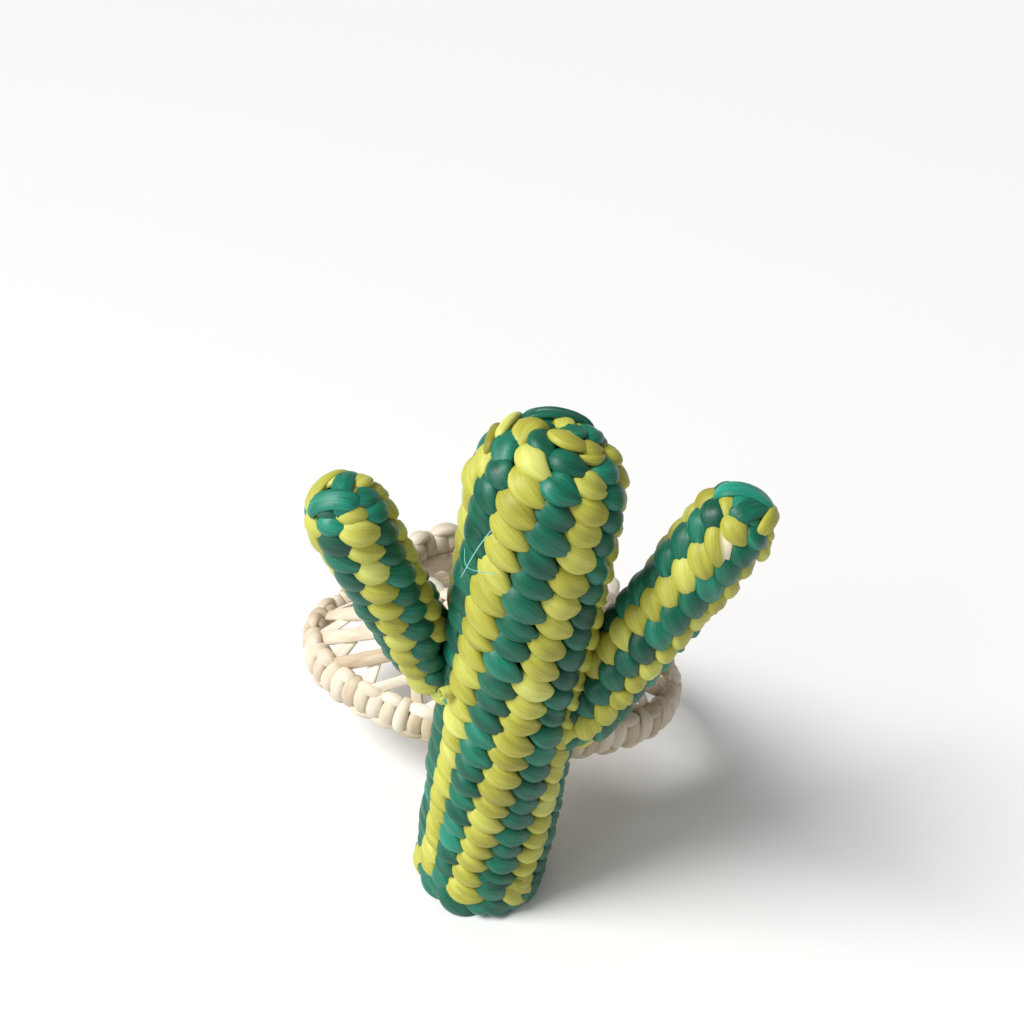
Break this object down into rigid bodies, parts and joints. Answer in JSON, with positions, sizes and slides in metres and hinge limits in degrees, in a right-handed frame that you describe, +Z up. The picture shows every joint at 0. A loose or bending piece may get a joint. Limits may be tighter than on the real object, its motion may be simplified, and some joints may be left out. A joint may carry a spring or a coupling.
{
  "type": "napkin ring",
  "caption": "Woven palm-straw cactus figure with two raised arms, sewn to the front of an oval openwork straw napkin ring.",
  "frame": {"origin": "middle of the trunk's foot, on the surface that it stands on", "axes": "+Z up along the trunk, -Y to the front of the figure, +Y to the napkin ring behind it"},
  "size_m": [0.066, 0.0615, 0.083],
  "materials": {
    "green_straw": "satin dyed palm straw",
    "lime_straw": "satin dyed palm straw",
    "natural_straw": "matt natural palm straw",
    "straw_filling": "matt bundled straw",
    "sewing_thread": "twisted fibre"
  },
  "bodies": {
    "root": {"trunk_core": "straw_filling", "trunk_stakes": "straw_filling", "trunk_green_weft": "green_straw", "trunk_lime_weft": "lime_straw", "trunk_crown": "green_straw", "trunk_foot_border": "green_straw", "left_arm_core": "straw_filling", "left_arm_stakes": "straw_filling", "left_arm_green_weft": "green_straw", "left_arm_lime_weft": "lime_straw", "left_arm_elbow": "green_straw", "left_arm_crown": "green_straw", "right_arm_core": "straw_filling", "right_arm_stakes": "straw_filling", "right_arm_green_weft": "green_straw", "right_arm_lime_weft": "lime_straw", "right_arm_elbow": "green_straw", "right_arm_crown": "green_straw", "ring_lower_hoop": "straw_filling", "ring_lower_border": "natural_straw", "ring_upper_hoop": "straw_filling", "ring_upper_border": "natural_straw", "ring_right_lay": "natural_straw", "ring_left_lay": "natural_straw", "lower_lashing": "sewing_thread", "upper_lashing": "sewing_thread", "straw_stub": "lime_straw"}
  },
  "joints": []
}
